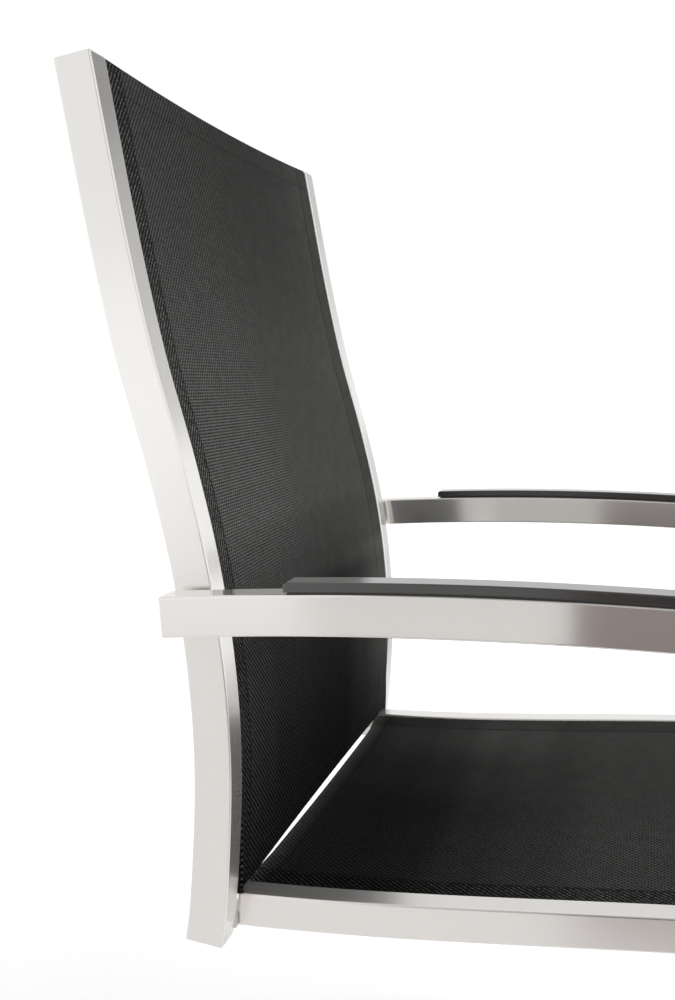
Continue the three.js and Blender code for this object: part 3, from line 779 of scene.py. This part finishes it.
def pad_solid(name, x, width, profile, material, edge):
    count = len(profile)
    vertices = [Vector((x + half * width / 2, y, z)) for half in (-1, 1) for y, z in profile]
    faces = [tuple(reversed(range(count))), tuple(range(count, 2 * count))]
    faces += [(i, (i + 1) % count, count + (i + 1) % count, count + i) for i in range(count)]
    pad = mesh_object(name, vertices, faces)
    edges = pad.modifiers.new("rounded_edges", "BEVEL")
    edges.width = edge
    edges.segments = 4
    edges.limit_method = "ANGLE"
    edges.angle_limit = math.radians(30)
    return finish_piece(pad, material)


def build_pads():
    """The pads, each with a narrower black seat strip between it and the arm."""
    under = ARM_CAMBER_RADIUS + PAD_GAP
    over = under + PAD_THICKNESS
    corner_arch = over - PAD_END_RADIUS
    rear = FORWARD_Y - PAD_REAR
    front = rear - PAD_LENGTH
    profile = pad_corner(rear - PAD_END_RADIUS, -QUARTER, corner_arch)
    profile += arc(ARCH_CENTRE, over, arch_angle(rear - PAD_END_RADIUS, corner_arch),
                   arch_angle(front + PAD_END_RADIUS, corner_arch), PAD_STEPS)[1:-1]
    profile += pad_corner(front + PAD_END_RADIUS, 0, corner_arch)
    profile += arc(ARCH_CENTRE, under, arch_angle(front, under), arch_angle(rear, under), PAD_STEPS)
    low, high = ARM_CAMBER_RADIUS + PAD_SEAT_LIFT, under - PAD_SEAT_LIFT / 2
    ends = (rear - PAD_END_RADIUS, front + PAD_END_RADIUS)
    strip = arc(ARCH_CENTRE, high, *(arch_angle(end, high) for end in ends), PAD_STEPS)
    strip += arc(ARCH_CENTRE, low, *(arch_angle(end, low) for end in reversed(ends)), PAD_STEPS)
    for side, sign in SIDES.items():
        x = sign * (FRAME_OUTER_X - PAD_WIDTH / 2)
        pad = pad_solid(f"{side}_pad", x, PAD_WIDTH, profile, PAD, PAD_EDGE)
        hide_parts(f"{side}_arm_pad")
        width = PAD_WIDTH - 2 * PAD_SEAT_INSET
        pad_solid(f"{side}_pad_seat", x, width, strip, BLACK, PAD_SEAT_LIFT)


# Slings

def arch_share(place):
    return 1 - place * place


def eased(value, start, span):
    """0 up to the start, 1 beyond the span, and a smooth rise between."""
    return smooth_share(min(max((value - start) / span, 0.0), 1.0))


def last_part(along, parts):
    """0 up to the last of these equal parts of the length, and a straight rise to 1 over it."""
    return max(0.0, parts * along - (parts - 1))


def back_line_point(share):
    """A point of the uprights' line, from 0 at the cloth's foot to 1 at the top."""
    return catmull_rom(upright_places, 1 + (upright_spans - 1) * share)


def back_hollow(across, along):
    """How far the back's cloth lies behind the straight line between the slots."""
    straight = BACK_HOLLOW_BOTTOM + (BACK_HOLLOW_TOP - BACK_HOLLOW_BOTTOM) * along
    middle = BACK_HOLLOW_MIDDLE - (BACK_HOLLOW_BOTTOM + BACK_HOLLOW_TOP) / 2
    hollow = arch_share(across) * (straight + middle * arch_share(2 * along - 1))
    from_tube = ((1 - abs(across)) * (INNER_HALF + WALL) - WALL) / CORNER_FOLD_WIDTH
    low = max(0.0, 1 - along * (CHAIR_TOP - SLING_START) / CORNER_FOLD_HEIGHT)
    near = max(0.0, min(from_tube / FOLD_PEAK_SHARE, (1 - from_tube) / (1 - FOLD_PEAK_SHARE)))
    return hollow - CORNER_FOLD * smooth_share(low) * smooth_share(near)


def back_slide(across, along):
    """How far the top edge and the lower corners are moved along the cloth."""
    if abs(across) * (INNER_HALF + WALL) < INNER_HALF - SHOULDER_GAP / 2:
        end = BACK_TOP_RISE - BACK_TOP_DIP * arch_share(across) - TOP_INSET
    else:
        end = -TOP_INSET
    foot = CORNER_RISE * eased(abs(across), FOOT_CORNER_START, FOOT_CORNER_SPAN)
    return end * last_part(along, BACK_END_PARTS) + foot * max(0.0, 1 - BACK_END_PARTS * along)


def seat_line_point(share):
    length = SEAT_DEPTH + RAIL_REAR
    start = SEAT_SLING_FRONT / length
    end = 1 + SEAT_SLING_REAR / length
    return rail_point(start + (end - start) * share)


def seat_hollow(across, along):
    """How far the seat's cloth sags below the straight line between the slots."""
    middle = SEAT_SAG_MIDDLE - SEAT_SAG_END
    return arch_share(across) * (SEAT_SAG_END + middle * arch_share(2 * along - 1))


def seat_slide(across, along):
    """How far the rear edge is moved along the cloth."""
    corner = SEAT_REAR_CORNER * eased(abs(across), REAR_CORNER_START, REAR_CORNER_SPAN)
    rear = min(SEAT_REAR_MIDDLE + SEAT_REAR_SKEW * across + corner, SEAT_REAR_LIMIT)
    return rear * last_part(along, SEAT_END_PARTS)


def between(table, place):
    """The value at a place, eased between the pairs of a table."""
    for (low, first), (high, last) in zip(table, table[1:]):
        if place <= high:
            return first + (last - first) * smooth_share((place - low) / (high - low))
    return table[-1][1]


class Sling:
    """The surface of one sling: across runs from -1 to 1 between the slots, along from 0 to 1."""

    def __init__(self, name, line_point, inner_half, hollow, slide, rows, bead):
        self.name = name
        self.inner_half = inner_half
        self.half_width = inner_half + WALL
        self.hollow = hollow
        self.slide = slide
        self.rows = rows
        self.bead = bead
        self.points = [line_point(row / rows) for row in range(rows + 1)]
        self.ways = directions(self.points)
        self.lengths = [0.0]
        for a, b in zip(self.points, self.points[1:]):
            self.lengths.append(self.lengths[-1] + (b - a).length)
        self.length = self.lengths[-1]

    def length_at(self, along):
        """The length of the cloth up to a place along it."""
        place = along * self.rows
        row = min(int(place), self.rows - 1)
        return self.lengths[row] + (self.lengths[row + 1] - self.lengths[row]) * (place - row)

    def frame_at(self, along):
        place = min(max(along, 0.0), 1.0) * self.rows
        row = min(int(place), self.rows - 1)
        part = place - row
        point = self.points[row].lerp(self.points[row + 1], part)
        way = self.ways[row].lerp(self.ways[row + 1], part).normalized()
        return point, way

    def place(self, across, along, lift):
        """A point of the cloth's middle layer, lifted towards the sitter."""
        point, way = self.frame_at(along)
        inwards = way.cross(X_AXIS)
        depth = SLOT_START + SLOT_WIDTH / 2 + self.hollow(across, along) - lift
        spot = point + inwards * depth + way * self.slide(across, along)
        return Vector((across * self.half_width, spot.y, spot.z))

    def share_of(self, length):
        """The share along at which the cloth has this length."""
        for row in range(self.rows):
            if self.lengths[row + 1] >= length:
                span = self.lengths[row + 1] - self.lengths[row]
                return (row + (length - self.lengths[row]) / span) / self.rows
        return 1.0


def side_share(sling, across):
    """1 in the side pockets and 0 elsewhere."""
    from_side = (1 - abs(across)) * sling.half_width
    return 1 - eased(from_side, POCKET_WIDTH, SEAM_STEP)


def doubled_share(sling, across, along):
    """1 where the cloth is folded double, in the side pockets and end hems, and 0 elsewhere."""
    length = sling.length_at(along)
    from_end = min(length, sling.length - length)
    return max(side_share(sling, across), 1 - eased(from_end, HEM_WIDTH, SEAM_STEP))


def cloth_lift(sling, across, along):
    """How far the front layer stands up over the pockets and hems, and over a rolled rear edge."""
    edge = max(0.0, 1 - (sling.length - sling.length_at(along)) / BEAD_WIDTH)
    return HEM_LIFT * doubled_share(sling, across, along) + sling.bead * smooth_share(edge)


def cloth_grid(sling):
    """The places across and along where the cloth has its lines of vertices."""
    shoulder = sling.inner_half - SHOULDER_GAP
    pocket = sling.half_width - POCKET_WIDTH
    halves = [pocket, pocket - SEAM_STEP, shoulder, sling.inner_half]
    halves += [sling.inner_half - CORNER_FOLD_WIDTH * share for share in FOLD_SHARES]
    acrosses = [2 * column / SLING_COLUMNS - 1 for column in range(SLING_COLUMNS + 1)]
    acrosses += [sign * half / sling.half_width for half in halves for sign in (-1, 1)]
    hems = [HEM_WIDTH, HEM_WIDTH + SEAM_STEP]
    edges = hems + [BEAD_WIDTH * share for share in BEAD_SHARES]
    lengths = hems + [sling.length - edge for edge in edges]
    alongs = [row / sling.rows for row in range(sling.rows + 1)]
    alongs += [sling.share_of(length) for length in lengths]
    return sorted(set(acrosses)), sorted(set(alongs))


def paint_cloth(cloth, sling, spots, look):
    """Writes what the weave's material reads at each vertex."""

    # Painted light and shade: a brightness along the cloth, raised by painted light towards one side
    def tone(across, along):
        lift = between(look["far"], across) * between(look["lift"], along)
        return between(look["tone"], along) * (1 + lift)

    values = {
        "pocket": [side_share(sling, across) for across, along in spots],
        "clarity": [between(CLARITY, across) for across, along in spots],
        "tone": [tone(across, along) for across, along in spots],
        "ribs": [between(look["ribs"], along) for across, along in spots],
        "strokes": [between(look["strokes"], along) for across, along in spots],
    }
    for name, numbers in values.items():
        cloth.data.attributes.new(name, "FLOAT", "POINT").data.foreach_set("value", numbers)


def sling_cloth(sling, look):
    """One closed sheet with a front and a rear layer."""
    acrosses, alongs = cloth_grid(sling)
    spots = [(across, along) for along in alongs for across in acrosses]
    half = SLING_THICKNESS / 2
    vertices = [sling.place(*spot, half + cloth_lift(sling, *spot)) for spot in spots]
    vertices += [sling.place(*spot, -half) for spot in spots]
    uv = [(across * sling.half_width, sling.length_at(along)) for across, along in spots]
    width = len(acrosses)
    height = len(alongs)
    back = width * height
    faces, uvs = [], []

    def add(corners):
        faces.append(tuple(corners))
        uvs.append([uv[corner % back] for corner in corners])

    for j in range(height - 1):
        for i in range(width - 1):
            a = j * width + i
            front = (a, a + 1, a + 1 + width, a + width)
            add(front)
            add([corner + back for corner in reversed(front)])
    for i in range(width - 1):
        low, high = i, (height - 1) * width + i
        add((low + back, low + 1 + back, low + 1, low))
        add((high, high + 1, high + 1 + back, high + back))
    for j in range(height - 1):
        left, right = j * width, j * width + width - 1
        add((left, left + width, left + width + back, left + back))
        add((right + back, right + width + back, right + width, right))
    cloth = mesh_object(f"{sling.name}_cloth", vertices, faces, uvs)
    paint_cloth(cloth, sling, spots * 2, look)
    return cloth


def stitch_row(name, places):
    """A row of sewn stitches: short rounded threads, each sunk into the cloth at its ends."""
    vertices, faces = [], []
    sides = STITCH_SIDES
    rings = len(STITCH_PROFILE)
    for point, way, up in places:
        side = way.cross(up).normalized()
        start = len(vertices)
        for share, rise in STITCH_PROFILE:
            height = rise * STITCH_RADIUS * STITCH_FLATNESS
            centre = point + way * (share * STITCH_LENGTH) + up * height
            radius = STITCH_RADIUS * (STITCH_TIP if abs(share) == 0.5 else 1)
            for x, y in arc((0, 0), radius, 0, 4 * QUARTER, sides)[:-1]:
                vertices.append(centre + side * x + up * y)
        for ring in range(rings - 1):
            for step in range(sides):
                a = start + ring * sides + step
                b = start + ring * sides + (step + 1) % sides
                faces.append((a, a + sides, b + sides, b))
        faces.append(tuple(start + step for step in range(sides)))
        faces.append(tuple(start + (rings - 1) * sides + step for step in reversed(range(sides))))
    return mesh_object(name, vertices, faces)


def seam(sling, front, kind, distance, sign):
    """Stitches along a side pocket or an end hem, on the front or the rear of the cloth."""
    if kind == "side":
        across = sign * (1 - distance / sling.half_width)
        count = int(sling.length / STITCH_PITCH)
        lengths = [step * STITCH_PITCH + STITCH_PITCH / 2 for step in range(count)]
        spots = [(across, sling.share_of(length)) for length in lengths]
        step_across, step_along = 0, 0.002
    else:
        along = sling.share_of(distance)
        half = sling.half_width - HEM_SEAM_END
        count = int(2 * half / STITCH_PITCH)
        halves = [-half + (step + 0.5) * 2 * half / count for step in range(count)]
        spots = [(place / sling.half_width, along) for place in halves]
        step_across, step_along = 0.01, 0
    facing = 1 if front else -1
    lift = facing * (SLING_THICKNESS / 2) + (HEM_LIFT if front else 0)
    places = []
    for across, along in spots:
        before = sling.place(across - step_across, along - step_along, lift)
        after = sling.place(across + step_across, along + step_along, lift)
        way = (after - before).normalized()
        up = sling.frame_at(along)[1].cross(X_AXIS) * -facing
        up = (up - way * up.dot(way)).normalized()
        places.append((sling.place(across, along, lift), way, up))
    face = "front" if front else "rear"
    side = "near" if sign < 0 else "far"
    return stitch_row(f"{sling.name}_{kind}_seam_{face}_{side}_{round(distance / MM)}", places)


def build_sling(sling, node, look):
    cloth = sling_cloth(sling, look)
    finish_piece(cloth, MESH, smooth_angle=50, weighted=False)
    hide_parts(node)
    seams = []
    for front in (True, False):
        for sign in (-1, 1):
            seams.append(seam(sling, front, "side", POCKET_WIDTH - POCKET_SEAM_INSET, sign))
        inset = HEM_WIDTH - HEM_SEAM_INSET
        for distance, sign in ((inset, -1), (sling.length - inset, 1)):
            seams.append(seam(sling, front, "end", distance, sign))
    for row in seams:
        finish_piece(row, THREAD, smooth_angle=60, weighted=False)


back_sling = Sling("back_sling", back_line_point, INNER_HALF, back_hollow, back_slide, BACK_ROWS, 0)
seat_sling = Sling(
    "seat_sling", seat_line_point, RAIL_INNER_X, seat_hollow, seat_slide, SEAT_ROWS, SEAT_REAR_BEAD,
)


# Small pieces carried over from the frame

def dress_node(node, material, edge):
    """Gives a solid from the frame its material, and rounded edges unless the edge is 0."""
    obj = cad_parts[node]
    for index in range(max(1, len(obj.material_slots))):
        if index < len(obj.material_slots):
            obj.material_slots[index].material = material
        else:
            obj.data.materials.append(material)
    if edge:
        bevel = obj.modifiers.new("rounded_edges", "BEVEL")
        bevel.width = edge
        bevel.segments = 3
        bevel.limit_method = "ANGLE"
        bevel.angle_limit = math.radians(35)


def steel_block(name, node, edge):
    """A small welded block or strip between two tubes, with its edges ground over."""
    low, high = (Vector(corner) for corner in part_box(node))
    middle = (low + high) / 2
    size = high - low
    outline = rounded_outline(size.y, -size.z / 2, size.z / 2, edge)
    ends = [Vector((x, middle.y, middle.z)) for x in (low.x, high.x)]
    block = sweep(name, outline, ends, Y_AXIS)
    finish_piece(block, GROUND)
    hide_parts(node)


def dress_small_nodes():
    for side in SIDES:
        steel_block(f"{side}_block", f"{side}_arm_block", BLOCK_EDGE)
        steel_block(f"{side}_bracket", f"{side}_rail_bracket", BLOCK_EDGE)
        for place in ("front", "rear"):
            dress_node(f"{side}_{place}_glide", BLACK, GLIDE_EDGE)
        for sling in ("back", "seat"):
            dress_node(f"{side}_{sling}_sling_rod", BLACK, 0)


# Floor, light and camera

def studio_floor():
    """A white floor that keeps shadows, and glows a little where the camera sees it."""
    ends = ((-1, -1), (1, -1), (1, 1), (-1, 1))
    corners = [Vector((x * FLOOR_HALF, y * FLOOR_HALF, 0)) for x, y in ends]
    floor = mesh_object("studio_floor", corners, [(0, 1, 2, 3)])
    material, nodes, links, shader = new_material("studio_floor")
    path = nodes.new("ShaderNodeLightPath")
    glow = math_node(nodes, links, "MULTIPLY", path.outputs["Is Camera Ray"], FLOOR_GLOW)
    links.new(glow, shader.inputs["Emission Strength"])
    shader.inputs["Emission Color"].default_value = (1, 1, 1, 1)
    shader.inputs["Base Color"].default_value = (0.985, 0.985, 0.985, 1)
    shader.inputs["Roughness"].default_value = 0.9
    floor.data.materials.append(material)


def world_light():
    """A white world, a little weaker as a light than as the camera and reflections see it."""
    world = bpy.data.worlds.new("studio")
    world.use_nodes = True
    bpy.context.scene.world = world
    nodes = world.node_tree.nodes
    links = world.node_tree.links
    nodes.clear()
    path = nodes.new("ShaderNodeLightPath")
    seen = math_node(nodes, links, "MAXIMUM", path.outputs["Is Camera Ray"], path.outputs["Is Glossy Ray"])
    seen = math_node(nodes, links, "MAXIMUM", seen, path.outputs["Is Transmission Ray"])
    strength = nodes.new("ShaderNodeMapRange")
    links.new(seen, strength.inputs["Value"])
    strength.inputs["To Min"].default_value = WORLD_AS_LIGHT
    strength.inputs["To Max"].default_value = 1
    background = nodes.new("ShaderNodeBackground")
    background.inputs["Color"].default_value = (1, 1, 1, 1)
    links.new(strength.outputs[0], background.inputs["Strength"])
    output = nodes.new("ShaderNodeOutputWorld")
    links.new(background.outputs[0], output.inputs["Surface"])


def soft_sun(name, place, spread, strength):
    data = bpy.data.lights.new(name, "SUN")
    data.energy = strength
    data.angle = math.radians(spread)
    lamp = bpy.data.objects.new(name, data)
    lamp.rotation_euler = (-Vector(place)).to_track_quat("-Z", "Y").to_euler()
    lamp.visible_glossy = False
    bpy.context.scene.collection.objects.link(lamp)


def studio_screen(name, corner, along, up, tone):
    """A grey screen that only shows in reflections."""
    corner, along, up = Vector(corner), Vector(along), Vector(up)
    screen = mesh_object(name, [corner, corner + along, corner + along + up, corner + up], [(0, 1, 2, 3)])
    material, nodes, links, shader = new_material(name)
    nodes.remove(shader)
    glow = nodes.new("ShaderNodeEmission")
    glow.inputs["Color"].default_value = (*tone, 1)
    links.new(glow.outputs[0], nodes["Material Output"].inputs["Surface"])
    screen.data.materials.append(material)
    screen.visible_camera = False
    screen.visible_diffuse = False
    screen.visible_shadow = False
    screen.visible_transmission = False


def camera():
    data = bpy.data.cameras.new("camera")
    data.lens = CAMERA_LENS
    data.sensor_width = 36
    data.sensor_fit = "AUTO"
    data.shift_x, data.shift_y = CAMERA_SHIFT
    data.clip_start = 0.01
    obj = bpy.data.objects.new("camera", data)
    obj.location = CAMERA_PLACE
    yaw = math.radians(CAMERA_YAW)
    pitch = math.radians(CAMERA_PITCH)
    direction = Vector((math.cos(yaw) * math.cos(pitch), math.sin(yaw) * math.cos(pitch), -math.sin(pitch)))
    obj.rotation_euler = direction.to_track_quat("-Z", "Y").to_euler()
    bpy.context.scene.collection.objects.link(obj)
    bpy.context.scene.camera = obj


camera()
build_uprights()
build_rails()
build_side_frames()
build_bars()
build_pads()
build_sling(back_sling, "back_sling", BACK_LOOK)
build_sling(seat_sling, "seat_sling", SEAT_LOOK)
dress_small_nodes()
studio_floor()
world_light()
soft_sun("key", place=(-0.35, -1, 0.6), spread=60, strength=1.5)
for screen in SCREENS:
    studio_screen(*screen)
for (low, grey), (high, _) in zip(FAR_SIDE, FAR_SIDE[1:]):
    name = f"far_side_{round(100 * low)}"
    corner = (*FAR_SIDE_CORNER, low)
    studio_screen(name, corner, FAR_SIDE_EDGE, (0, 0, high - low), (grey, grey, grey))
bpy.context.scene.view_settings.view_transform = "Standard"
